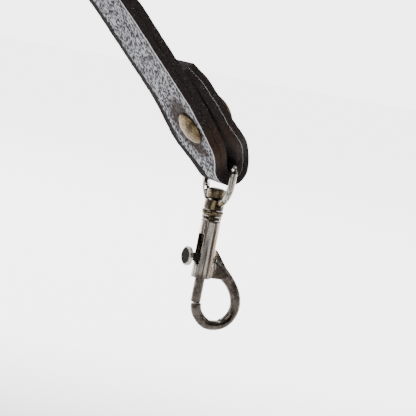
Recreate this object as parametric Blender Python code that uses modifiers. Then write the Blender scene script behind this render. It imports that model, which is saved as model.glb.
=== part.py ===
"""Training leash: a flat two-ply strap folded round the D eye of a swivel bolt snap and riveted,
with the spare strap wound in the hand round its own handle loop.

+Z is up and the strap's width lies along Y. The origin is the inside top of the handle loop,
where a hand or a peg holds the leash, and the hook hangs plumb from its eye.
"""

import math

import bmesh
import bpy
from mathutils import Matrix, Vector

MM = 0.001

# Strap
STRAP_WIDTH = 20.0 * MM
PLY = 1.6 * MM
PLY_GAP = 0.3 * MM
GAP = 0.3 * MM
WAIST_HALF = 4.7 * MM
WAIST_TOP = 1.3 * MM
WAIST_FLARE = 5.5 * MM
STRAP_LEAN = math.radians(38)

# Coil in the hand, with the handle loop as its innermost turn
HANDLE_INSIDE = 45.2 * MM
COIL_INSIDE = 52.5 * MM
COIL_OUTSIDE = 72.0 * MM
TAB_SPAN = math.radians(38)
NECK_ANGLE = math.radians(230)
EYE_FROM_COIL = Vector((152.0 * MM, 0.0, -10.0 * MM))

# Rivets
RIVET_RADIUS = 4.2 * MM
RIVET_HEIGHT = 1.3 * MM
RIVET_STEM = 1.3 * MM
RIVET_OFFSET = -4.0 * MM
RIVET_ALONG = Vector((-11.5 * MM, 8.7 * MM))
TAIL_STANDOFF = 5.2 * MM

# D eye
EYE_HALF = 6.4 * MM
EYE_WIRE = 0.9 * MM
EYE_CORNER = 1.7 * MM
EYE_DROP = 4.05 * MM
BOSS_RADIUS = 2.5 * MM
BOSS_HEIGHT = 2.3 * MM

# Swivel
SHANK_RADIUS = 0.85 * MM
HEAD_RADIUS = 2.3 * MM
HEAD_HEIGHT = 2.6 * MM
WASHER_HEIGHTS = (1.25 * MM, 0.7 * MM)
WASHER_RADIUS = 2.5 * MM
PEEN_RADIUS = 1.2 * MM
PEEN_HEIGHT = 0.8 * MM

# Sleeve, hook and bolt
SLEEVE_RADIUS = 2.45 * MM
SLEEVE_LENGTH = 14.6 * MM
SLEEVE_ROOF = 0.9 * MM
BOLT_RADIUS = 1.25 * MM
BOLT_REACH = 6.35 * MM
BOLT_TRAVEL = 4.6 * MM
BOLT_BORE = 0.95 * MM
BOLT_BORE_DEPTH = 6.0 * MM
BAR_RADIUS = 1.35 * MM
ROOT_RADIUS = 1.9 * MM
GUSSET = 2.2 * MM
SEAT_LENGTH = 3.0 * MM
SEAT_AT = Vector((6.2 * MM, -10.75 * MM))

# Thumb stud
STUD_ABOVE_MOUTH = 5.05 * MM
STUD_STEM = 1.05 * MM
BUTTON_RADIUS = 2.4 * MM
BUTTON_IN = 4.2 * MM
BUTTON_OUT = 5.4 * MM

# Spring
SPRING_RADIUS = 0.53 * MM
SPRING_WIRE = 0.13 * MM
SPRING_TURNS = 8

STRAP_THICKNESS = 2 * PLY + PLY_GAP
FOLD_RADIUS = EYE_WIRE + 0.45 * MM + STRAP_THICKNESS / 2
COIL_CENTRE = Vector((0.0, 0.0, -HANDLE_INSIDE))
EYE = COIL_CENTRE + EYE_FROM_COIL
BOSS_BOTTOM = -EYE_DROP - EYE_HALF - BOSS_HEIGHT / 2
BOSS_TOP = BOSS_BOTTOM + BOSS_HEIGHT
HEAD_TOP = BOSS_TOP + GAP + HEAD_HEIGHT
SLEEVE_TOP = BOSS_BOTTOM - sum(WASHER_HEIGHTS) - 3 * GAP
SLEEVE_BOTTOM = SLEEVE_TOP - SLEEVE_LENGTH
PEEN_TOP = SLEEVE_TOP - SLEEVE_ROOF - GAP
SPRING_TOP = PEEN_TOP - PEEN_HEIGHT - GAP
BOLT_TOP = PEEN_TOP - PEEN_HEIGHT - GAP - BOLT_TRAVEL
SPRING_BOTTOM = BOLT_TOP - BOLT_BORE_DEPTH + GAP
BOLT_TIP = SLEEVE_BOTTOM - BOLT_REACH
STUD_HEIGHT = SLEEVE_BOTTOM + STUD_ABOVE_MOUTH

# The strap's middle at the hook end, as (how far up from the eye's top bar, how far out of the line that
# leaves the fold). The tail's second number is how far in from that line's back it lies.
TAIL_POINTS = [(28.4, -1.31), (24.5, -0.77), (20.8, -0.24), (17.4, 0.39), (14.2, 0.7), (10.9, 1.04),
               (7.4, 1.97), (3.7, 3.0), (0.6, 3.09)]
FRONT_POINTS = [(4.46, 0.0), (9.77, 0.31), (15.16, 0.54), (22.3, 1.06), (35.15, 3.06)]

# The strap on its way to the coil, as (x, z) from the eye's top bar.
RUN_POINTS = [(-26.5, 23.9), (-37.3, 34.0), (-54.4, 48.3), (-74.1, 60.6), (-95.2, 70.0), (-117.5, 76.4)]

# The hook bar's middle, from inside the sleeve's wall round to the nose, as (x, z) from the sleeve's mouth.
HOOK_POINTS = [(1.9, 4.45), (4.3, 2.95), (6.7, 1.25), (9.1, -0.95), (10.75, -3.35), (11.6, -5.95),
               (11.2, -8.65), (9.5, -10.85), (6.8, -11.8), (4.1, -11.6), (2, -10.15), (0.7, -8.45),
               (0.25, -6.65)]
GUSSET_POINTS = [(1.9, 7.65), (3, 7.25), (7.4, 2.05), (6, 0.05), (1.9, 0.15)]


def clear_scene():
    for obj in list(bpy.data.objects):
        bpy.data.objects.remove(obj, do_unlink=True)


def new_collection(name):
    collection = bpy.data.collections.new(name)
    bpy.context.scene.collection.children.link(collection)
    return collection


def material(name, colour, roughness, metallic):
    made = bpy.data.materials.new(name)
    made.use_nodes = True
    shader = made.node_tree.nodes["Principled BSDF"]
    shader.inputs["Base Color"].default_value = (*colour, 1.0)
    shader.inputs["Roughness"].default_value = roughness
    shader.inputs["Metallic"].default_value = metallic
    return made


def add_object(name, data, collection, finish=None):
    obj = bpy.data.objects.new(name, data)
    collection.objects.link(obj)
    if finish:
        data.materials.append(finish)
    return obj


def as_cutter(obj):
    obj.hide_render = True
    obj.display_type = "WIRE"
    return obj


def boolean(target, other, operation):
    modifier = target.modifiers.new(other.name, "BOOLEAN")
    modifier.operation = operation
    modifier.object = other
    modifier.solver = "EXACT"


def curve_to_mesh(obj, collection, finish=None):
    """The curve object's welded mesh, in a new object of the same name and place."""
    bpy.context.view_layer.update()
    evaluated = obj.evaluated_get(bpy.context.evaluated_depsgraph_get())
    mesh = bpy.data.meshes.new_from_object(evaluated)
    place = obj.matrix_world.copy()
    name = obj.name
    bpy.data.objects.remove(obj, do_unlink=True)
    cage = bmesh.new()
    cage.from_mesh(mesh)
    bmesh.ops.remove_doubles(cage, verts=cage.verts, dist=0.00001)
    bmesh.ops.recalc_face_normals(cage, faces=cage.faces)
    cage.to_mesh(mesh)
    cage.free()
    mesh.materials.clear()
    made = add_object(name, mesh, collection, finish)
    made.matrix_world = place
    return made


def smooth_line(points, spans):
    """Points on one smooth line through (x, z) points in millimetres, with spans steps between each two."""
    knots = [Vector(p) * MM for p in points]
    knots = [2 * knots[0] - knots[1], *knots, 2 * knots[-1] - knots[-2]]
    line = []
    for a, b, c, d in zip(knots, knots[1:], knots[2:], knots[3:]):
        for step in range(spans):
            t = step / spans
            line.append(0.5 * (2 * b + (c - a) * t + (2 * a - 5 * b + 4 * c - d) * t * t
                               + (3 * b - a - 3 * c + d) * t ** 3))
    return line + [knots[-2]]


def hook_end_points(points, inwards):
    """The points up the strap and across it, as (x, z) from the eye in millimetres."""
    along = Vector((-math.sin(STRAP_LEAN), math.cos(STRAP_LEAN)))
    out = Vector((-math.cos(STRAP_LEAN), -math.sin(STRAP_LEAN)))
    placed = []
    for up, across in points:
        across = (FOLD_RADIUS - STRAP_THICKNESS) / MM - across if inwards else FOLD_RADIUS / MM + across
        placed.append(tuple(along * up + out * across))
    return placed


def fold_line():
    """The strap's middle where it turns round the eye's top bar, clockwise from the tail to the front."""
    first, last = math.radians(20), -math.radians(180) + STRAP_LEAN
    steps = 12
    angles = [first + (last - first) * i / steps for i in range(steps + 1)]
    return [(FOLD_RADIUS / MM * math.cos(a), FOLD_RADIUS / MM * math.sin(a)) for a in angles]


def offset_line(line, distance):
    """The line moved sideways to its left by distance."""
    moved = []
    for i, point in enumerate(line):
        ahead = line[min(i + 1, len(line) - 1)] - line[max(i - 1, 0)]
        side = Vector((-ahead.y, ahead.x)).normalized()
        moved.append(point + side * distance)
    return moved


def flat_piece(name, outline, depth, collection, finish=None, place=None):
    """A flat outline in x and z, centred on Y, depth thick."""
    curve = bpy.data.curves.new(name, "CURVE")
    curve.dimensions = "2D"
    curve.fill_mode = "BOTH"
    curve.extrude = depth / 2
    spline = curve.splines.new("POLY")
    spline.points.add(len(outline) - 1)
    for point, (x, z) in zip(spline.points, outline):
        point.co = (x, z, 0.0, 1.0)
    spline.use_cyclic_u = True
    obj = add_object(name, curve, collection)
    obj.matrix_world = place or Matrix.Translation(EYE) @ Matrix.Rotation(math.pi / 2, 4, "X")
    return curve_to_mesh(obj, collection, finish)


def band(name, line, low, high, collection, finish, place=None):
    """A length of strap whose two faces lie at low and high to the left of the line."""
    outline = offset_line(line, high) + offset_line(line, low)[::-1]
    return flat_piece(name, outline, STRAP_WIDTH, collection, finish, place)


def rod(name, points, radius, collection, finish, cyclic=False, radii=None, sides=4):
    """A round bar along points (x, y, z), with filled caps. sides is the bevel resolution."""
    curve = bpy.data.curves.new(name, "CURVE")
    curve.dimensions = "3D"
    curve.bevel_depth = radius
    curve.bevel_resolution = sides
    curve.use_fill_caps = True
    spline = curve.splines.new("POLY")
    spline.points.add(len(points) - 1)
    for i, (point, place) in enumerate(zip(spline.points, points)):
        point.co = (*place, 1.0)
        point.radius = radii[i] / radius if radii else 1.0
    spline.use_cyclic_u = cyclic
    return curve_to_mesh(add_object(name, curve, collection), collection, finish)


def turned(name, profile, collection, finish=None, steps=28, closed=False):
    """A profile of (radius, height) turned about local Z. It runs down its outer side."""
    mesh = bpy.data.meshes.new(name)
    edges = [(i, i + 1) for i in range(len(profile) - 1)]
    if closed:
        edges.append((len(profile) - 1, 0))
    mesh.from_pydata([(radius, 0.0, height) for radius, height in profile], edges, [])
    obj = add_object(name, mesh, collection, finish)
    screw = obj.modifiers.new("turn", "SCREW")
    screw.angle = 2 * math.pi
    screw.steps = steps
    screw.render_steps = steps
    screw.use_merge_vertices = True
    screw.merge_threshold = 0.00001
    screw.use_smooth_shade = True
    return obj


def cylinder(name, radius, top, bottom, collection, steps=24):
    return turned(name, [(0, top), (radius, top), (radius, bottom), (0, bottom)], collection, steps=steps)


def tube_profile(inner, outer, top, bottom):
    return [(inner, top), (outer, top), (outer, bottom), (inner, bottom)]


def aimed(point, direction):
    """The place of a piece whose local Z points along direction at point."""
    return Matrix.Translation(point) @ Vector(direction).to_track_quat("Z", "Y").to_matrix().to_4x4()


def ring_steps(radius):
    return max(36, int(2 * math.pi * radius / (8 * MM)))


def make_waist_cutters(cutters):
    """Two prisms that draw the strap's edges in where it passes through the eye."""
    lean = STRAP_LEAN
    place = Matrix.Translation(EYE) @ Matrix((
        (0, -math.sin(lean), math.cos(lean), 0),
        (1, 0, 0, 0),
        (0, math.cos(lean), math.sin(lean), 0),
        (0, 0, 0, 1)))
    outside = STRAP_WIDTH / 2 + 3 * MM
    below = -12 * MM
    flare = STRAP_WIDTH / 2 - WAIST_HALF
    steps = 6
    made = []
    for side in (1, -1):
        edge = []
        for i in range(steps + 1):
            share = i / steps
            ease = (1 - math.cos(math.pi * share)) / 2
            edge.append((WAIST_HALF + (flare + GAP) * ease, WAIST_TOP + WAIST_FLARE * share))
        outline = [(outside, below), (outside, edge[-1][1]), *edge[::-1], (WAIST_HALF, below)]
        outline = [(side * x, y) for x, y in outline]
        made.append(as_cutter(flat_piece(f"waist_cutter_{side}", outline, 40 * MM, cutters, place=place)))
    return made


def rivet_frame():
    """The rivet's place on the front's outer face, and the way that face looks."""
    outward = Vector((-math.cos(math.radians(41)), 0, -math.sin(math.radians(41))))
    middle = EYE + Vector((RIVET_ALONG.x, RIVET_OFFSET, RIVET_ALONG.y))
    return middle + outward * STRAP_THICKNESS / 2, outward


def make_hook_end(leash, cutters, face_cloth, lining_cloth):
    tail, front = hook_end_points(TAIL_POINTS, True), hook_end_points(FRONT_POINTS, False)
    line = smooth_line([*tail, *fold_line()[::3], *front], 3)
    half = STRAP_THICKNESS / 2
    plies = [band("strap_face_hook_end", line, half - PLY, half, leash, face_cloth),
             band("strap_lining_hook_end", line, -half, PLY - half, leash, lining_cloth)]
    point, outward = rivet_frame()
    hole = as_cutter(cylinder("strap_rivet_hole", RIVET_STEM + GAP, 3 * MM, -14 * MM, cutters))
    hole.matrix_world = aimed(point, outward)
    for ply in plies:
        for cutter in [*make_waist_cutters_once(cutters), hole]:
            boolean(ply, cutter, "DIFFERENCE")


def make_waist_cutters_once(cutters):
    found = [obj for obj in cutters.objects if obj.name.startswith("waist_cutter")]
    return found or make_waist_cutters(cutters)


def make_rivet(name, stack, leash, brass):
    """A capped rivet with its head on the strap's outer face at local zero, and its back cap under stack."""
    top = RIVET_HEIGHT + GAP
    cap = turned(f"{name}_cap", [
        (0, top), (0.45 * RIVET_RADIUS, top - 0.06 * RIVET_HEIGHT),
        (0.8 * RIVET_RADIUS, top - 0.35 * RIVET_HEIGHT), (RIVET_RADIUS, top - 0.75 * RIVET_HEIGHT),
        (RIVET_RADIUS, GAP), (RIVET_STEM, GAP),
        (RIVET_STEM, -stack), (0, -stack)], leash, brass)
    back_top = -stack - GAP
    back = turned(f"{name}_back", [
        (0, back_top), (RIVET_RADIUS, back_top), (RIVET_RADIUS, back_top - 0.4 * RIVET_HEIGHT),
        (0.8 * RIVET_RADIUS, back_top - 0.7 * RIVET_HEIGHT), (0, back_top - 0.8 * RIVET_HEIGHT)],
        leash, brass)
    return cap, back


def make_hook_end_rivet(leash, brass):
    point, outward = rivet_frame()
    for piece in make_rivet("hook_rivet", STRAP_THICKNESS + TAIL_STANDOFF, leash, brass):
        piece.matrix_world = aimed(point, outward)


def make_strap_run(leash, strap_cloth):
    half = STRAP_THICKNESS / 2
    line = smooth_line(RUN_POINTS, 5)
    first = (line[1] - line[0]).normalized()
    line[0] = line[0] + first * GAP
    band("strap_run", line, -half, half, leash, strap_cloth)


def make_coil(leash, cutters, strap_cloth, brass):
    half = STRAP_WIDTH / 2
    lying = Matrix.Translation(COIL_CENTRE) @ Matrix.Rotation(math.pi / 2, 4, "X")
    coil = turned("strap_coil", tube_profile(COIL_INSIDE, COIL_OUTSIDE, half, -half), leash, strap_cloth,
                  ring_steps(COIL_OUTSIDE), closed=True)
    coil.matrix_world = lying
    handle_outside = HANDLE_INSIDE + STRAP_THICKNESS
    handle = turned("handle_loop", tube_profile(HANDLE_INSIDE, handle_outside, half, -half), leash,
                    strap_cloth, ring_steps(handle_outside), closed=True)
    handle.matrix_world = lying
    tab_radius = HANDLE_INSIDE - GAP - STRAP_THICKNESS / 2
    steps = 10
    arc = []
    for i in range(steps + 1):
        angle = NECK_ANGLE + TAB_SPAN * (i / steps - 0.5)
        arc.append(Vector((tab_radius * math.cos(angle), tab_radius * math.sin(angle))))
    tab = band("handle_tab", arc, -STRAP_THICKNESS / 2, STRAP_THICKNESS / 2, leash, strap_cloth, lying)
    outward = Vector((math.cos(NECK_ANGLE), 0, math.sin(NECK_ANGLE)))
    neck = aimed(COIL_CENTRE + outward * handle_outside, outward)
    hole = as_cutter(cylinder("handle_rivet_hole", RIVET_STEM + GAP, 3 * MM, -12 * MM, cutters))
    hole.matrix_world = neck
    boolean(handle, hole, "DIFFERENCE")
    boolean(tab, hole, "DIFFERENCE")
    for piece in make_rivet("handle_rivet", 2 * STRAP_THICKNESS + GAP, leash, brass):
        piece.matrix_world = neck


def pivot(name, parent=None):
    """An empty at the eye's top bar, which the hook's moving pieces hang from."""
    empty = bpy.data.objects.new(name, None)
    bpy.context.scene.collection.objects.link(empty)
    if parent:
        empty.parent = parent
    else:
        empty.location = EYE
    return empty


def hang(obj, parent):
    """Puts obj, modelled from the eye's top bar, on its pivot."""
    obj.parent = parent
    obj.matrix_parent_inverse = Matrix.Identity(4)
    return obj


def eye_line():
    """The D eye's wire: a straight top bar, two corners and a round bow."""
    corner = [math.radians(90 - 90 * i / 5) for i in range(6)]
    bow = [math.radians(-180 * i / 20) for i in range(1, 20)]
    straight = EYE_HALF - EYE_CORNER
    right = [(straight + EYE_CORNER * math.cos(a), EYE_CORNER * (math.sin(a) - 1)) for a in corner]
    round_bow = [(EYE_HALF * math.cos(a), EYE_HALF * math.sin(a) - EYE_DROP) for a in bow]
    left = [(-y, z) for y, z in right[::-1]]
    right.append((EYE_HALF, -EYE_DROP))
    left.insert(0, (-EYE_HALF, -EYE_DROP))
    return [(0.0, y, z) for y, z in right + round_bow + left]


def make_eye(leash, cutters, nickel, eye_pivot):
    ring = hang(rod("eye_ring", eye_line(), EYE_WIRE, leash, nickel, cyclic=True), eye_pivot)
    boss = hang(as_cutter(cylinder("eye_boss", BOSS_RADIUS, BOSS_TOP, BOSS_BOTTOM, cutters)), eye_pivot)
    bore = cylinder("eye_bore", SHANK_RADIUS + GAP, BOSS_TOP + 3 * MM, BOSS_BOTTOM - 2 * MM, cutters)
    hang(as_cutter(bore), eye_pivot)
    boolean(ring, boss, "UNION")
    boolean(ring, bore, "DIFFERENCE")


def make_swivel(leash, nickel, hook_pivot):
    neck = HEAD_RADIUS - 0.4 * MM
    head_bottom = BOSS_TOP + GAP
    stud = turned("swivel_stud", [
        (0, HEAD_TOP), (0.7 * HEAD_RADIUS, HEAD_TOP), (HEAD_RADIUS, HEAD_TOP - 0.3 * MM),
        (HEAD_RADIUS, head_bottom + 0.5 * MM), (neck, head_bottom), (SHANK_RADIUS, head_bottom),
        (SHANK_RADIUS, PEEN_TOP), (PEEN_RADIUS, PEEN_TOP), (PEEN_RADIUS, PEEN_TOP - PEEN_HEIGHT),
        (0, PEEN_TOP - PEEN_HEIGHT)], leash, nickel)
    hang(stud, hook_pivot)
    top = BOSS_BOTTOM - GAP
    for number, height in enumerate(WASHER_HEIGHTS, start=1):
        profile = tube_profile(SHANK_RADIUS + GAP, WASHER_RADIUS, top, top - height)
        washer = turned(f"swivel_washer_{number}", profile, leash, nickel, closed=True)
        hang(washer, hook_pivot)
        top -= height + GAP


def make_hook(leash, cutters, nickel, hook_pivot):
    """The cast sleeve and its hook, bored for the bolt and slotted for the thumb stud."""
    sleeve = turned("hook_body", [
        (0, SLEEVE_TOP), (SLEEVE_RADIUS, SLEEVE_TOP), (SLEEVE_RADIUS, SLEEVE_BOTTOM), (0, SLEEVE_BOTTOM)],
        leash, nickel, steps=32)
    hang(sleeve, hook_pivot)
    line = smooth_line(HOOK_POINTS, 2)
    taper = [max(BAR_RADIUS, ROOT_RADIUS - (ROOT_RADIUS - BAR_RADIUS) * i / 6) for i in range(len(line))]
    middle = [(p.x, 0, p.y + SLEEVE_BOTTOM) for p in line]
    bar = rod("hook_bar", middle, BAR_RADIUS, cutters, None, radii=taper)
    outline = [(x * MM, z * MM + SLEEVE_BOTTOM) for x, z in GUSSET_POINTS]
    gusset = flat_piece("hook_gusset", outline, GUSSET, cutters, place=Matrix.Rotation(math.pi / 2, 4, "X"))
    for helper in (bar, gusset):
        hang(as_cutter(helper), hook_pivot)
        boolean(sleeve, helper, "UNION")
    hole_top, hole_bottom = SLEEVE_TOP + 2 * MM, SLEEVE_TOP - 3 * MM
    hole = cylinder("sleeve_roof_hole", SHANK_RADIUS + GAP, hole_top, hole_bottom, cutters)
    bore_top, bore_bottom = SLEEVE_TOP - SLEEVE_ROOF, SLEEVE_BOTTOM - 2 * MM
    bore = cylinder("sleeve_bore", BOLT_RADIUS + GAP, bore_top, bore_bottom, cutters, 28)
    half_slot = STUD_STEM + GAP
    low, high = STUD_HEIGHT - half_slot, STUD_HEIGHT + BOLT_TRAVEL + half_slot
    slot_outline = [(-4 * MM, low), (-0.6 * MM, low), (-0.6 * MM, high), (-4 * MM, high)]
    upright = Matrix.Rotation(math.pi / 2, 4, "X")
    slot = flat_piece("stud_slot", slot_outline, 2 * half_slot, cutters, place=upright)
    seat_z = SLEEVE_BOTTOM + SEAT_AT.y
    seat_start, seat_end = SEAT_AT.x - SEAT_LENGTH / 2, SEAT_AT.x + SEAT_LENGTH / 2
    seat_outline = [(seat_start, seat_z), (seat_end, seat_z), (seat_end + 0.6 * MM, seat_z + 1.6 * MM),
                    (seat_start - 0.6 * MM, seat_z + 1.6 * MM)]
    seat = flat_piece("ring_seat", seat_outline, 4 * BAR_RADIUS, cutters, place=upright)
    for cutter in (hole, bore, slot, seat):
        hang(as_cutter(cutter), hook_pivot)
        boolean(sleeve, cutter, "DIFFERENCE")


def make_bolt(leash, nickel, spring_steel, hook_pivot, bolt_pivot):
    bore_floor = BOLT_TOP - BOLT_BORE_DEPTH
    bolt = turned("bolt", [
        (0, bore_floor), (BOLT_BORE, bore_floor), (BOLT_BORE, BOLT_TOP), (BOLT_RADIUS, BOLT_TOP),
        (BOLT_RADIUS, BOLT_TIP + 0.25 * MM), (BOLT_RADIUS - 0.25 * MM, BOLT_TIP), (0, BOLT_TIP)],
        leash, nickel, steps=24)
    hang(bolt, bolt_pivot)
    rim = BUTTON_RADIUS
    stud = turned("thumb_stud", [
        (0, BUTTON_OUT), (rim - 0.4 * MM, BUTTON_OUT), (rim, BUTTON_OUT - 0.3 * MM),
        (rim, BUTTON_IN + 0.2 * MM),
        (rim - 0.5 * MM, BUTTON_IN), (STUD_STEM, BUTTON_IN - 0.4 * MM), (STUD_STEM, BOLT_RADIUS + GAP),
        (0, BOLT_RADIUS + GAP)], leash, nickel, steps=24)
    hang(stud, bolt_pivot)
    stud.location = (0, 0, STUD_HEIGHT)
    stud.rotation_euler = (0, -math.pi / 2, 0)
    turn_steps = 10
    top, bottom = SPRING_TOP - SPRING_WIRE, SPRING_BOTTOM + SPRING_WIRE
    count = SPRING_TURNS * turn_steps
    coil = []
    for i in range(count + 1):
        angle = 2 * math.pi * i / turn_steps
        height = top + (bottom - top) * i / count
        coil.append((SPRING_RADIUS * math.cos(angle), SPRING_RADIUS * math.sin(angle), height))
    hang(rod("bolt_spring", coil, SPRING_WIRE, leash, spring_steel, sides=2), hook_pivot)


def shade_round(collection):
    for obj in collection.objects:
        obj.data.shade_smooth()
        obj.data.set_sharp_from_angle(angle=math.radians(35))


def build():
    clear_scene()
    leash = new_collection("training_leash")
    cutters = new_collection("cutters")
    face_cloth = material("grey_face_cloth", (0.33, 0.33, 0.36), 0.75, 0.0)
    lining_cloth = material("black_lining", (0.03, 0.027, 0.028), 0.8, 0.0)
    brass = material("antique_brass", (0.45, 0.36, 0.22), 0.35, 1.0)
    nickel = material("nickel", (0.62, 0.58, 0.52), 0.18, 1.0)
    spring_steel = material("spring_steel", (0.5, 0.5, 0.5), 0.3, 1.0)
    make_hook_end(leash, cutters, face_cloth, lining_cloth)
    make_hook_end_rivet(leash, brass)
    make_strap_run(leash, face_cloth)
    make_coil(leash, cutters, face_cloth, brass)
    eye_pivot = pivot("eye_pivot")
    hook_pivot = pivot("hook_spin_axis", eye_pivot)
    bolt_pivot = pivot("bolt_slide_axis", hook_pivot)
    make_eye(leash, cutters, nickel, eye_pivot)
    make_swivel(leash, nickel, hook_pivot)
    make_hook(leash, cutters, nickel, hook_pivot)
    make_bolt(leash, nickel, spring_steel, hook_pivot, bolt_pivot)
    shade_round(leash)


build()
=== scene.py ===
import math
import random

import bmesh
import bpy
import numpy as np
from mathutils import Matrix, Vector, noise


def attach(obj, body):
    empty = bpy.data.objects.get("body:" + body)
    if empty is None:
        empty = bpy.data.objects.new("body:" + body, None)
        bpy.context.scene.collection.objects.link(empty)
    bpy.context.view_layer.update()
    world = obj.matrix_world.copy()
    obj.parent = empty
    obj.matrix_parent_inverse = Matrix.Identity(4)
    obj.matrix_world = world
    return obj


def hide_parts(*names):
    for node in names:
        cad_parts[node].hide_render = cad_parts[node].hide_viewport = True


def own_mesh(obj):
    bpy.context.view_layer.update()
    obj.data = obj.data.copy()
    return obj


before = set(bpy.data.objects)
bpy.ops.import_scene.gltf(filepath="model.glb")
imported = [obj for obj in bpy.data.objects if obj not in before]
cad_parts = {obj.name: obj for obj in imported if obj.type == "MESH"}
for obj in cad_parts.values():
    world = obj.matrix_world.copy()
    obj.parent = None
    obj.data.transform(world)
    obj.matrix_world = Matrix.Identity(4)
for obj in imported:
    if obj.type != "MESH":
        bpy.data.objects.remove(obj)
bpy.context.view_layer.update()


# ---------------------------------------------------------------- camera
# A long lens close to the hook end, turned a little so that the strap droops in from the upper left. The middle
# of the eye's top bar is the point that the pieces below are measured from.
mm = 0.001
eye = Vector((0.152, 0.0, -0.0552))


def placed(name, data):
    """A new object of this data at the origin, in the scene."""
    made = bpy.data.objects.new(name, data)
    bpy.context.scene.collection.objects.link(made)
    return made


right = Vector((0.8594, -0.4745, 0.1893)).normalized()
back = Vector((-0.498, -0.860, 0.112))
back = (back - right * back.dot(right)).normalized()
up = back.cross(right)
aim = eye + right * -0.00353 + up * -0.0111
camera_distance = 0.385
lens = bpy.data.cameras.new("camera")
lens.lens = 135
lens.sensor_width = 36
lens.clip_start = 0.01
lens.clip_end = 10
camera = placed("camera", lens)
facing = Matrix((right, up, back)).transposed().to_4x4()
camera.matrix_world = Matrix.Translation(aim + back * camera_distance) @ facing
bpy.context.scene.camera = camera


# ---------------------------------------------------------------- strap
# The strap: a grey woven face ply over a dark felted lining, 20 mm wide, cut as one strip about 1.4 m long.
# It is folded round the eye's top bar and riveted, runs up to the hand, is wound twice and ends as the handle
# loop, riveted back on itself.
strap_half, waist_half = 10.0, 4.7
ply_height, ply_thickness = 0.95, 0.0017
rivet_spot = Vector((-11.5, -4.0, 8.7))
lean = math.radians(38)
along = Vector((-math.sin(lean), math.cos(lean)))
outwards = Vector((-math.cos(lean), -math.sin(lean)))

# The route from the tail's tip, round the fold and up the strap's front to the coil, in mm from the eye.
fold_radius, tail_back = 3.1, 0.4
tail = [along * up_strap - outwards * (tail_back + lift) for up_strap, lift in [
    (28.4, -1.31), (24.5, -0.77), (20.8, -0.24), (17.4, 0.39), (14.2, 0.7), (10.9, 1.04), (7.4, 1.97),
    (3.7, 3.0), (0.6, 3.09)]]
fold = [Vector((fold_radius * math.cos(turn), fold_radius * math.sin(turn)))
        for turn in np.radians(np.linspace(20, -142, 5))]
front = [along * up_strap + outwards * (fold_radius + lift) for up_strap, lift in [
    (4.46, 0.0), (9.77, 0.31), (15.16, 0.54), (22.3, 1.06), (35.15, 3.06)]]
run = [Vector(point) for point in [
    (-37.3, 34.0), (-54.4, 48.3), (-74.1, 60.6), (-95.2, 70.0), (-117.5, 76.4), (-135.0, 79.3)]]
knots = tail + fold + front + run

# Two turns of spare strap, a quarter turn in to the handle, then the handle with its end laid inside it.
hand = Vector((-152, 10))
coil_reach, coil_pitch, handle_reach, tab_step = 70, 7.5, 47, 3.8
wound_from, wound_to, handle_from, tab_from, strap_end = 90, 810, 900, 1195, 1321
inner_reach = coil_reach - coil_pitch * (wound_to - wound_from) / 360
for angle in np.arange(wound_from, strap_end, 6.0):
    if angle < wound_to:
        reach = coil_reach - coil_pitch * (angle - wound_from) / 360
    elif angle < handle_from:
        reach = inner_reach - (inner_reach - handle_reach) * (angle - wound_to) / (handle_from - wound_to)
    else:
        late = min(max((angle - tab_from) / 60, 0), 1)
        reach = handle_reach - tab_step * late * late * (3 - 2 * late)
    turn = math.radians(angle)
    knots.append(Vector((reach * math.cos(turn) + hand.x, reach * math.sin(turn) + hand.y)))

# One smooth curve through the knots, and its direction and sideways direction at each station along it.
padded_knots = [2 * knots[0] - knots[1], *knots, 2 * knots[-1] - knots[-2]]
fine = []
for a, b, c, d in zip(padded_knots, padded_knots[1:], padded_knots[2:], padded_knots[3:]):
    for t in np.linspace(0, 1, 8, endpoint=False):
        fine.append(0.5 * (2 * b + (c - a) * t + (2 * a - 5 * b + 4 * c - d) * t * t
                           + (3 * b - a - 3 * c + d) * t ** 3))
fine = np.array([*fine, knots[-1]])
run_length = np.concatenate([[0], np.cumsum(np.linalg.norm(np.diff(fine, axis=0), axis=1))])
hook_end = 90
stations = np.concatenate([np.arange(0, hook_end, 0.75), np.arange(hook_end, run_length[-1], 3.0)])
middle = np.stack([np.interp(stations, run_length, fine[:, k]) for k in (0, 1)], axis=1)
ahead = np.gradient(middle, stations, axis=0)
ahead[1:-1] = (ahead[:-2] + 2 * ahead[1:-1] + ahead[2:]) / 4
ahead /= np.linalg.norm(ahead, axis=1)[:, None]
side = np.stack([-ahead[:, 1], ahead[:, 0]], axis=1)

# The strap narrows to a waist where it passes through the eye, and its tip is rounded.
flare_from, flare_length, flare_power = -0.6, 10.5, 0.8
tip_length, tip_narrowing = 5.5, 3.2
height = middle @ np.array(along)
ease = np.clip((height - flare_from) / flare_length, 0, 1) ** flare_power
flared = waist_half + (strap_half - waist_half) * (1 - np.cos(np.pi * ease)) / 2
half_width = np.where(stations < hook_end, flared, strap_half)
tip = stations < tip_length
half_width[tip] -= tip_narrowing * (1 - np.sin(np.pi / 2 / tip_length * stations[tip]))

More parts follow.
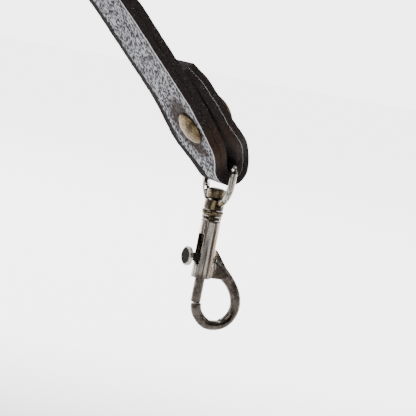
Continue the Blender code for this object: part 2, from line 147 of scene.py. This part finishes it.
# Each ply is a grid bent to the route, a little wavy, drawn down round the rivet and frayed at its edges.
rivet_station = stations[np.argmin(np.linalg.norm(middle - np.array((rivet_spot.x, rivet_spot.z)), axis=1))]
rivet_dent, rivet_reach = 0.42, 4.6
columns = np.array([-1, -0.97, -0.9, -0.75, -0.5, -0.25, 0, 0.25, 0.5, 0.75, 0.9, 0.97, 1])
plies = {}
for ply_name, offset in (("strap_face", ply_height), ("strap_lining", -ply_height)):
    cage = bmesh.new()
    for layer in ("strap", "rim"):
        cage.loops.layers.uv.new(layer)
    strap_uv, rim_uv = cage.loops.layers.uv["strap"], cage.loops.layers.uv["rim"]
    bmesh.ops.create_grid(cage, x_segments=len(stations) - 1, y_segments=len(columns) - 1, size=1)
    in_order = sorted(cage.verts, key=lambda v: (round(v.co.x, 6), round(v.co.y, 6)))
    place = {vert: divmod(number, len(columns)) for number, vert in enumerate(in_order)}
    for vert, (i, j) in place.items():
        across = columns[j] * half_width[i]
        wear = noise.noise((stations[i] * 0.9, across * 0.25, offset * 7))
        fray = noise.noise((stations[i] * 1.7, columns[j] * 30, offset * 3))
        lift = offset + 0.10 * wear
        near_rivet = math.hypot(stations[i] - rivet_station, across - rivet_spot.y)
        if abs(stations[i] - rivet_station) < 12:
            lift -= rivet_dent * math.exp(-(near_rivet / rivet_reach) ** 2)
        if abs(columns[j]) > 0.95:
            across += math.copysign(0.16 * fray, across)
        x, z = middle[i] + side[i] * lift
        vert.co = eye + Vector((x, across, z)) * mm
    for face in cage.faces:
        face.smooth = True
        for loop in face.loops:
            i, j = place[loop.vert]
            across = columns[j] * half_width[i]
            narrow = (strap_half - half_width[i]) * 0.25
            loop[strap_uv].uv = (stations[i], across)
            loop[rim_uv].uv = (half_width[i] - across - narrow, half_width[i] + across)
    cage.faces.ensure_lookup_table()
    first = cage.faces[0]
    first.normal_update()
    i, j = place[first.verts[0]]
    if first.normal.dot(Vector((side[i][0], 0, side[i][1]))) < 0:
        bmesh.ops.reverse_faces(cage, faces=cage.faces)
    mesh = bpy.data.meshes.new(ply_name)
    cage.to_mesh(mesh)
    cage.free()
    ply = placed(ply_name, mesh)
    solid = ply.modifiers.new("thickness", "SOLIDIFY")
    solid.thickness = ply_thickness
    solid.offset = 0
    solid.material_offset_rim = 1
    softened = ply.modifiers.new("soft edges", "BEVEL")
    softened.width = 0.0004
    softened.segments = 2
    softened.limit_method = "ANGLE"
    softened.angle_limit = math.radians(60)
    plies[ply_name] = ply

for ply in plies.values():
    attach(ply, "leash")
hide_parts("strap_face_hook_end", "strap_run", "strap_coil", "handle_loop",
            "handle_tab")
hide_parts("strap_lining_hook_end")


class Val:
    """A shader socket that adds, subtracts and multiplies like a number. Val.node makes any other node."""

    def __init__(self, tree, socket):
        self.tree, self.socket = tree, socket

    def node(self, kind, inputs=None, out=0, **settings):
        """One output of a new node of this kind. Its inputs are numbers, colours or other Vals."""
        made = self.tree.nodes.new(kind)
        for key, value in settings.items():
            setattr(made, key, value)
        for key, value in (inputs or {}).items():
            if isinstance(value, Val):
                self.tree.links.new(value.socket, made.inputs[key])
            else:
                made.inputs[key].default_value = value
        return Val(self.tree, made.outputs[out])

    def math(self, operation, other=0.0):
        return self.node("ShaderNodeMath", {0: self, 1: other}, operation=operation)

    def __add__(self, other):
        return self.math("ADD", other)

    def __sub__(self, other):
        return self.math("SUBTRACT", other)

    def __rsub__(self, other):
        return self.node("ShaderNodeMath", {0: other, 1: self}, operation="SUBTRACT")

    def __mul__(self, other):
        return self.math("MULTIPLY", other)

    __radd__, __rmul__ = __add__, __mul__

    def step(self, low, high):
        """0 below low, 1 above high, smooth between. low above high turns it round."""
        return self.node("ShaderNodeMapRange", {"Value": self, "From Min": low, "From Max": high},
                         interpolation_type="SMOOTHSTEP")

    def noise(self, scale, detail=2.0, roughness=0.5, distortion=0.0):
        """Noise between about 0.2 and 0.8 at this position."""
        return self.node("ShaderNodeTexNoise", {"Vector": self, "Scale": scale, "Detail": detail,
                                                "Roughness": roughness, "Distortion": distortion}, "Fac")

    def scaled(self, x, y, z):
        """This position stretched along each axis."""
        return self.node("ShaderNodeVectorMath", {0: self, 1: (x, y, z)}, operation="MULTIPLY")

    def in_mm(self, origin=None):
        """This position in millimetres, from the origin given if there is one."""
        moved = self
        if origin is not None:
            moved = self.node("ShaderNodeVectorMath", {0: self, 1: tuple(-origin)}, operation="ADD")
        return moved.scaled(1000, 1000, 1000)

    def mm_from(self, point):
        """How many millimetres this position is from a point."""
        return self.node("ShaderNodeVectorMath", {0: self, 1: tuple(point)}, "Value",
                         operation="DISTANCE") * 1000

    def axis(self, number):
        """This position along X, Y or Z."""
        return self.node("ShaderNodeSeparateXYZ", {0: self}, number)

    def blend(self, first, second):
        """The first colour where this is 0 and the second where it is 1."""
        ends = [end if isinstance(end, Val) else (*end, 1.0) for end in (first, second)]
        return self.node("ShaderNodeMix", {0: self, 6: ends[0], 7: ends[1]}, 2, data_type="RGBA")

    def bump(self, strength, distance):
        """A surface normal bumped by this height."""
        return self.node("ShaderNodeBump", {"Height": self, "Strength": strength, "Distance": distance},
                         "Normal")


def finish_named(name):
    """A new material, the object's position as a Val, and the material's shader."""
    made = bpy.data.materials.new(name)
    made.use_nodes = True
    coordinates = made.node_tree.nodes.new("ShaderNodeTexCoord")
    return made, Val(made.node_tree, coordinates.outputs["Object"]), made.node_tree.nodes["Principled BSDF"]


def dress(shader, sockets):
    """Sets each named socket of a shader to a number or colour, or links a Val to it."""
    for name, value in sockets.items():
        if isinstance(value, Val):
            value.tree.links.new(value.socket, shader.inputs[name])
        else:
            shader.inputs[name].default_value = value


# Grey weave: dense dark diagonal flecks, a fuzzy dark border on the far edge, a pale line along the near one,
# and a dark brown patch round the rivet, partly stain and partly painted shade where the face dips in round the
# rivet.
stain_and_shade_spot, weave_turn = Vector((-12.8, -4.0, 7.5)), math.radians(38)
weave, position, shader = finish_named("grey_weave")
flat = position.node("ShaderNodeUVMap", out="UV", uv_map="strap")
rim = position.node("ShaderNodeUVMap", out="UV", uv_map="rim")
far_edge, near_edge = rim.axis(0), rim.axis(1)
turned_flat = flat.node("ShaderNodeMapping", {"Vector": flat, "Rotation": (0, 0, weave_turn)})
cells = turned_flat.node("ShaderNodeTexVoronoi", {"Vector": turned_flat.scaled(0.9, 1.9, 1), "Scale": 1.0,
                                                  "Randomness": 0.8}, "Distance")
speck = cells.step(0.70, 0.42)
fine_speck = turned_flat.scaled(2.2, 4.0, 1).noise(1.0, 2.0, 0.6).step(0.52, 0.64)
thread = flat.scaled(3.4, 3.4, 1).noise(1.0, 3.0, 0.6)
patchy = flat.scaled(0.16, 0.16, 1).noise(1.0, 3.0, 0.6)
ragged = flat.scaled(1.3, 1.3, 1).noise(1.0, 4.0, 0.7) * 2.2
hairs = flat.scaled(2.6, 7.0, 1).noise(1.0, 3.0, 0.7)
border = (far_edge + ragged).step(4.5, 3.5)
shadow_line = (near_edge - 1.1).math("ABSOLUTE").step(0.35, 0.12)
# A pale, slightly ragged line along the near edge of the face.
pale_edge_line = (near_edge + ragged * 0.12).step(0.75, 0.45)
# Dark brown round the rivet and out towards the far border: partly a stain, partly painted shade of the dip
# that the rivet draws into the face.
stain_and_shade = (position.mm_from(eye + stain_and_shade_spot * mm) + patchy * 4.0).step(12.6, 8.6) * far_edge.step(18.0, 14.2)
grey = thread.step(0.3, 0.7).blend((0.34, 0.34, 0.38), (0.72, 0.72, 0.77))
grey = (patchy.step(0.35, 0.7) * 0.28).blend(grey, (0.30, 0.285, 0.28))
grey = (speck * 0.95).blend(grey, (0.012, 0.011, 0.014))
grey = (fine_speck * 0.5).blend(grey, (0.05, 0.05, 0.055))
grey = border.blend(grey, hairs.step(0.35, 0.75).blend((0.005, 0.004, 0.004), (0.035, 0.026, 0.023)))
grey = (shadow_line * 0.75).blend(grey, (0.02, 0.018, 0.02))
grey = (pale_edge_line * 0.9).blend(grey, (0.80, 0.79, 0.80))
grey = (stain_and_shade * 0.88).blend(grey, (0.035, 0.022, 0.016))
relief = thread * 0.5 - speck * 0.35 + border * hairs * 1.2
dress(shader, {"Base Color": grey, "Roughness": 0.9, "Specular IOR Level": 0.08,
               "Normal": relief.bump(0.55, 0.00022)})

# Felt: dark charcoal brown with fine pale specks painted as glints on its fibres and a rusty stain near the
# fold, for ply edges and lining.
rust_spot = Vector((-7.5, -9.0, 3.5))
felt, position, shader = finish_named("dark_felt")
lint = position.in_mm().noise(3.2, 4.0, 0.7)
fluff = position.in_mm().noise(0.9, 3.0, 0.65)
# Pale specks: painted glints on the fibres.
glint = position.in_mm().noise(6.5, 2.0, 0.5).step(0.66, 0.74)
rust = (position.mm_from(eye + rust_spot * mm) + fluff * 5.0).step(12.0, 5.0)
charcoal = lint.step(0.3, 0.72).blend((0.007, 0.005, 0.005), (0.048, 0.036, 0.034))
charcoal = (fluff.step(0.4, 0.7) * 0.5).blend(charcoal, (0.034, 0.024, 0.021))
charcoal = (rust * 0.6).blend(charcoal, (0.060, 0.030, 0.014))
charcoal = (glint * 0.55).blend(charcoal, (0.22, 0.20, 0.19))
dress(shader, {"Base Color": charcoal, "Roughness": 0.95, "Specular IOR Level": 0.06, "Sheen Weight": 0.08,
               "Sheen Roughness": 0.5, "Normal": (lint + fluff * 0.6).bump(0.8, 0.0004)})
plies["strap_face"].data.materials.append(weave)
plies["strap_face"].data.materials.append(felt)
plies["strap_lining"].data.materials.append(felt)


# ---------------------------------------------------------------- fibres
# Loose fibres of felt along the ply edges near the hook. Each stands off its edge by 0.25 to 0.75 mm, bends
# once and thins towards its tip.
def bent_wire(name, runs, radius, roundness):
    """A curve of round wire through each run of points, in metres."""
    made = bpy.data.curves.new(name, "CURVE")
    made.dimensions = "3D"
    made.bevel_depth = radius
    made.bevel_resolution = roundness
    for points in runs:
        spline = made.splines.new("POLY")
        spline.points.add(len(points) - 1)
        for point, co in zip(spline.points, points):
            point.co = (*co, 1.0)
    return made


random.seed(7)
fibre_count, last_station = 620, 118
fibre_runs = []
for number in range(fibre_count):
    i = random.randrange(4, last_station)
    edge = random.choice((-1, 1))
    layer = random.choice((-1, 1)) * random.uniform(0.2, 1.7)
    x, z = middle[i] + side[i] * layer
    reach = random.uniform(0.25, 0.75)
    drift = random.uniform(-0.6, 0.6)
    curl = random.uniform(-0.35, 0.35)
    forward, sideways = Vector((ahead[i][0], 0, ahead[i][1])), Vector((side[i][0], 0, side[i][1]))
    base = Vector((x, edge * (half_width[i] - 0.1), z))
    bend = base + forward * drift * 0.5 + Vector((0, edge * reach * 0.7, 0))
    end = base + forward * drift + sideways * curl + Vector((0, edge * reach, 0))
    fibre_runs.append([eye + co * mm for co in (base, bend, end)])
fibre_curve = bent_wire("edge_fibres", fibre_runs, 0.000028, 0)
for spline in fibre_curve.splines:
    spline.points[-1].radius = 0.3
fibres = placed("edge_fibres", fibre_curve)
hair, position, shader = finish_named("fibre")
pale = position.in_mm().noise(0.8, 2.0, 0.6).step(0.45, 0.6)
dress(shader, {"Base Color": pale.blend((0.045, 0.036, 0.032), (0.24, 0.21, 0.19)), "Roughness": 0.8})
fibre_curve.materials.append(hair)
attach(fibres, "leash")


# ---------------------------------------------------------------- rivets
# Two-piece capped rivets in worn antique brass: a domed cap on the strap's face and a flat back. The hook end's
# cap and its post are spun from one profile, and the dome is a little dented.
face_lean = math.radians(41)
post_radius, post_end, dent = 1.3, -8.2, 0.00007
cap_profile = [(0.0001, 1.62), (1.0, 1.58), (2.0, 1.43), (2.9, 1.15), (3.6, 0.78), (4.02, 0.42), (4.2, 0.16),
               (4.16, -0.02), (4.0, -0.12), (post_radius, -0.14), (post_radius, post_end), (0.0001, post_end)]
brass, position, shader = finish_named("antique_brass")
local = position.in_mm()
worn = local.noise(0.55, 4.0, 0.65)
grime = local.noise(1.6, 4.0, 0.7)
scratch = local.scaled(0.5, 2.0, 6.0).noise(1.6, 2.0, 0.5, 0.6)
colour = worn.step(0.36, 0.62).blend((0.065, 0.040, 0.017), (0.21, 0.148, 0.072))
colour = (grime.step(0.52, 0.68) * 0.75).blend(colour, (0.055, 0.036, 0.022))
colour = (scratch.step(0.60, 0.68) * 0.6).blend(colour, (0.66, 0.60, 0.48))
dress(shader, {"Base Color": colour, "Metallic": 1.0, "Roughness": grime * 0.4 + 0.3,
               "Normal": (grime + scratch * 0.5).bump(0.35, 0.00012)})
for name in ("hook_rivet_back", "handle_rivet_cap", "handle_rivet_back"):
    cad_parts[name].data.materials[0] = brass
out_of_face = Vector((-math.cos(face_lean), 0, -math.sin(face_lean)))
seat = eye + rivet_spot * mm + out_of_face * 0.00175
cage = bmesh.new()
ring = [cage.verts.new((radius * mm, 0, level * mm)) for radius, level in cap_profile]
edges = [cage.edges.new(pair) for pair in zip(ring, ring[1:])]
bmesh.ops.spin(cage, geom=ring + edges, cent=(0, 0, 0), axis=(0, 0, 1), angle=2 * math.pi, steps=64,
               use_merge=True)
bmesh.ops.remove_doubles(cage, verts=cage.verts, dist=0.0000025)
bmesh.ops.recalc_face_normals(cage, faces=cage.faces)
stand = Matrix.Translation(seat) @ out_of_face.to_track_quat("Z", "Y").to_matrix().to_4x4()
for vert in cage.verts:
    if vert.co.z > 0.0001:
        vert.co.z += dent * noise.noise(vert.co * 900)
    vert.co = stand @ vert.co
for face in cage.faces:
    face.smooth = True
mesh = bpy.data.meshes.new("rivet_cap")
cage.to_mesh(mesh)
cage.free()
mesh.set_sharp_from_angle(angle=math.radians(50))
mesh.materials.append(brass)
cap = placed("rivet_cap", mesh)
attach(cap, "leash")
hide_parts("hook_rivet_cap")


# ---------------------------------------------------------------- eye
# The D eye, bent from 1.8 mm wire and closed into a boss: bright nickel with faint draw marks, and brown and
# blue-green tarnish streaks on the boss.
bright_nickel, position, shader = finish_named("bright_nickel")
local, from_eye = position.in_mm(), position.in_mm(eye)
cloud = local.noise(0.35, 3.0, 0.6)
pit = local.noise(2.4, 4.0, 0.7)
drawn = from_eye.scaled(2.2, 2.2, 0.12).noise(1.0, 2.0, 0.5)
streaks = from_eye.scaled(1.0, 1.0, 0.25).noise(0.8, 2.0, 0.6)
boss = streaks.step(0.46, 0.64).blend((0.035, 0.027, 0.021), (0.36, 0.27, 0.14))
boss = (streaks.step(0.60, 0.70) * 0.6).blend(boss, (0.12, 0.20, 0.20))
colour = cloud.step(0.35, 0.65).blend((0.42, 0.37, 0.30), (0.74, 0.70, 0.64))
colour = (pit.step(0.60, 0.72) * 0.6).blend(colour, (0.12, 0.095, 0.075))
colour = (drawn.step(0.50, 0.60) * 0.85).blend(colour, (0.07, 0.085, 0.09))
colour = from_eye.axis(2).step(-8.7, -9.4).blend(colour, boss)
dress(shader, {"Base Color": colour, "Metallic": 1.0, "Roughness": pit * 0.16 + 0.05,
               "Normal": (pit + cloud * 0.4).bump(0.12, 0.00015)})
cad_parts["eye_ring"].data.materials[0] = bright_nickel


# ---------------------------------------------------------------- swivel
# The swivel pin, headed above the eye's boss and peened in the sleeve, with two thrust washers and a turn of
# retaining wire under the boss. The pin and the upper washer are dark nickel, and the lower washer is bright.
wire_ring, wire_top, wire_drop, wire_radius = 2.42, -12.15, 0.62, 0.00027
dark_nickel, position, shader = finish_named("dark_nickel")
local = position.in_mm()
cloud = local.noise(0.7, 4.0, 0.65)
rub = local.scaled(1, 1, 4).noise(1.1, 3.0, 0.6)
colour = cloud.step(0.35, 0.65).blend((0.03, 0.023, 0.018), (0.17, 0.13, 0.085))
colour = (rub.step(0.58, 0.68) * 0.7).blend(colour, (0.52, 0.41, 0.24))
dress(shader, {"Base Color": colour, "Metallic": 1.0, "Roughness": cloud * 0.35 + 0.12,
               "Normal": cloud.bump(0.25, 0.0002)})
for name, metal, slot in (("swivel_stud", dark_nickel, "nickel_plate"),
                          ("swivel_washer_1", dark_nickel, "dark_nickel"),
                          ("swivel_washer_2", bright_nickel, "nickel_plate")):
    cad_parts[name].data.materials[0] = metal
helix = []
for step in range(61):
    turn = math.radians(200 + step * 6.6)
    helix.append(eye + Vector((wire_ring * math.cos(turn), wire_ring * math.sin(turn),
                               wire_top - wire_drop * step / 60)) * mm)
loose_end = (helix[0] - helix[1]).normalized()
helix.insert(0, helix[0] + loose_end * 0.0009 + Vector((-0.0004, 0, 0.0001)))
wire_curve = bent_wire("retaining_wire", [helix], wire_radius, 3)
wire_curve.use_fill_caps = True
wire_curve.materials.append(dark_nickel)
wire = placed("retaining_wire", wire_curve)
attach(wire, "hook")


# ---------------------------------------------------------------- hook
# The sleeve and hook, one die casting: nickel plate with long light and dark streaks along the sleeve, partly
# tarnish and partly painted reflections, and dark brown on the bowl, partly wear and partly painted dark
# reflection. Its edges are softened as tumbling leaves them.
worn_nickel, position, shader = finish_named("worn_nickel")
local = position.in_mm(eye)
# Long streaks along the sleeve: the light and dark bands are partly painted reflections, and the teal and gold
# bands are partly tarnish and partly painted reflections.
reflection_streak = local.scaled(1.15, 1.15, 0.05).noise(1.0, 3.0, 0.6, 0.3)
tarnish_and_reflection = local.scaled(2.1, 2.1, 0.035).noise(1.0, 2.0, 0.6)
cloud = local.noise(0.42, 4.0, 0.65)
pit = local.noise(2.6, 4.0, 0.7)
sleeve = reflection_streak.step(0.44, 0.62).blend((0.085, 0.062, 0.055), (0.62, 0.56, 0.49))
sleeve = (tarnish_and_reflection.step(0.56, 0.66) * 0.6).blend(sleeve, (0.10, 0.16, 0.165))
sleeve = (tarnish_and_reflection.step(0.44, 0.34) * 0.6).blend(sleeve, (0.50, 0.35, 0.17))
# The bowl's dark brown is partly wear and partly painted dark reflection.
bowl = cloud.step(0.35, 0.66).blend((0.045, 0.034, 0.028), (0.17, 0.145, 0.125))
bowl = (pit.step(0.60, 0.72) * 0.6).blend(bowl, (0.42, 0.38, 0.32))
below_sleeve = (local.axis(2) + cloud * 3.0).step(-25.5, -28.5)
on_bowl = below_sleeve.math("MAXIMUM", local.axis(0).step(2.3, 3.4))
dress(shader, {"Base Color": on_bowl.blend(sleeve, bowl), "Metallic": 1.0,
               "Roughness": pit * 0.14 + on_bowl * 0.16 + 0.06,
               "Normal": (pit + cloud * 1.2).bump(0.22, 0.0002)})
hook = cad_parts["hook_body"]
hook.data.materials[0] = worn_nickel
skin = hook.modifiers.new("cast skin", "REMESH")
skin.mode = "VOXEL"
skin.voxel_size = 0.00013
skin.use_smooth_shade = True
tumbled = hook.modifiers.new("tumbled edges", "SMOOTH")
tumbled.factor = 0.5
tumbled.iterations = 12


# ---------------------------------------------------------------- bolt
# The spring bolt and its thumb stud, a dark worn disc with a bright rim. The spring sits in the bolt's bore and
# bears on the sleeve's roof.
stud_drop, disc_edge = 24.0, (2.1, 2.45)
spring_radius, spring_top, spring_length, coils, steps_a_coil = 0.53, -16.88, 10.04, 8, 20
stud_metal, position, shader = finish_named("thumbed_nickel")
local = position.in_mm(eye)
depth, level = local.axis(1), local.axis(2) + stud_drop
radius = (depth * depth + level * level).math("SQRT")
cloud = local.noise(1.3, 4.0, 0.65)
bright_rim = (radius + cloud * 0.5).step(*disc_edge)
# The dark centre of the disc is partly painted dark reflection.
colour = bright_rim.blend((0.022, 0.018, 0.016), (0.70, 0.67, 0.61))
colour = (cloud.step(0.60, 0.70) * 0.4).blend(colour, (0.22, 0.20, 0.18))
dress(shader, {"Base Color": colour, "Specular IOR Level": 0.1, "Metallic": bright_rim,
               "Roughness": cloud * 0.3 - bright_rim * 0.6 + 0.7, "Normal": cloud.bump(0.2, 0.0002)})
for name, metal in (("thumb_stud", stud_metal), ("bolt", worn_nickel)):
    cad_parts[name].data.materials[0] = metal
wound = []
for step in range(coils * steps_a_coil + 1):
    turn = 2 * math.pi * step / steps_a_coil
    wound.append(eye + Vector((spring_radius * math.cos(turn), spring_radius * math.sin(turn),
                               spring_top - spring_length * step / (coils * steps_a_coil))) * mm)
spring_curve = bent_wire("spring_wire", [wound], 0.00013, 2)
spring_curve.use_fill_caps = True
helper = placed("spring_helper", spring_curve)
bpy.context.view_layer.update()
mesh = bpy.data.meshes.new_from_object(helper.evaluated_get(bpy.context.evaluated_depsgraph_get()))
bpy.data.objects.remove(helper, do_unlink=True)
mesh.materials.clear()
mesh.materials.append(dark_nickel)
spring = placed("return_spring", mesh)
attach(spring, "hook")
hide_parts("bolt_spring")
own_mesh(spring)


# ---------------------------------------------------------------- floor and light
# A pale floor below the leash, bright behind it, and soft studio light from above, the left and behind. The
# room is seen as plain white, but is reflected as pale above and behind, and dark below and in front.
floor_level, glow = -0.16, 3.6
cage = bmesh.new()
bmesh.ops.create_grid(cage, x_segments=1, y_segments=1, size=4.0)
mesh = bpy.data.meshes.new("floor")
cage.to_mesh(mesh)
cage.free()
floor = placed("floor", mesh)
floor.location = (0, 0, floor_level)
floor_paint, position, shader = finish_named("pale_floor")
behind = position.node("ShaderNodeVectorMath", {0: position, 1: (0.5, 0.866, 0)}, "Value",
                       operation="DOT_PRODUCT")
dress(shader, {"Base Color": (0.88, 0.88, 0.88, 1), "Roughness": 0.9, "Emission Strength": glow,
               "Emission Color": behind.step(0.05, 0.35).blend((0, 0, 0), (1, 1, 1))})
mesh.materials.append(floor_paint)
for name, spot, size, power in (
        ("key", (-0.6, -0.35, 0.65), 0.4, 6.0), ("fill", (0.95, -0.45, 0.25), 0.25, 1.2),
        ("side", (-0.7, 0.25, -0.02), 0.5, 1.6), ("rim", (0.35, 0.85, 0.7), 0.6, 8.0)):
    lamp = bpy.data.lights.new(name, "AREA")
    lamp.size = size
    lamp.energy = power
    at_eye = (Vector(spot) - eye).to_track_quat("Z", "Y").to_matrix().to_4x4()
    placed(name, lamp).matrix_world = Matrix.Translation(spot) @ at_eye
room = bpy.data.worlds.new("studio")
room.use_nodes = True
bpy.context.scene.world = room
nodes = room.node_tree.nodes
way = Val(room.node_tree, nodes.new("ShaderNodeTexCoord").outputs["Generated"])
seen = way.node("ShaderNodeLightPath", out="Is Camera Ray")
lit = (way.axis(2) * 0.6 + way.axis(1) * 0.8).step(-0.3, 0.7)
reflected = lit.blend((0.03, 0.026, 0.024), (1.0, 1.0, 1.0))
dress(nodes["Background"], {"Color": seen.blend(reflected, (4.6, 4.6, 4.6)), "Strength": 1.0})
